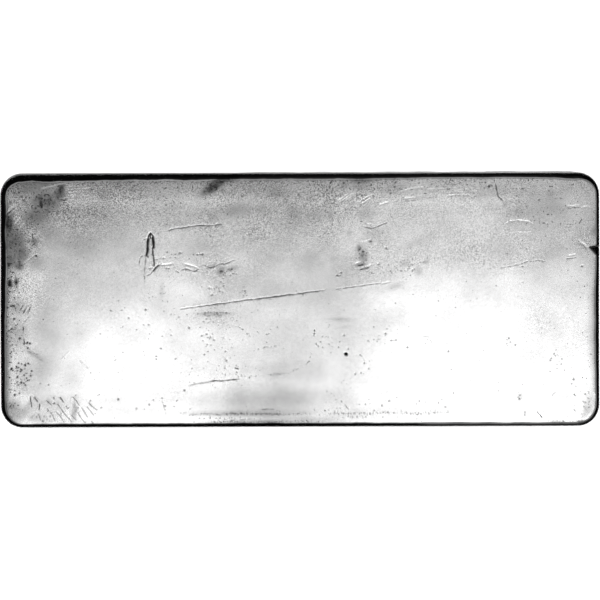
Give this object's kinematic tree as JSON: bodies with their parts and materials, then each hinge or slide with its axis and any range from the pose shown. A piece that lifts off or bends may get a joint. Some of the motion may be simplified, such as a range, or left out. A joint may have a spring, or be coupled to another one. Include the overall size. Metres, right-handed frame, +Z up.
{
  "type": "metal ingot",
  "caption": "Cast metal ingot: a plain rectangular bar with drafted walls, rounded corners and edges, a flat cast face and a shallow shrinkage hollow underneath.",
  "frame": {"origin": "middle of the plane that the ingot rests on, under its centre", "axes": "+X along the length, towards the chipped end; +Y across the width; +Z up, out of the face that was cast against the mould's floor"},
  "size_m": [0.1178, 0.0504, 0.0169],
  "materials": {
    "silver": "satin"
  },
  "bodies": {
    "root": {"ingot": "silver"}
  },
  "joints": []
}
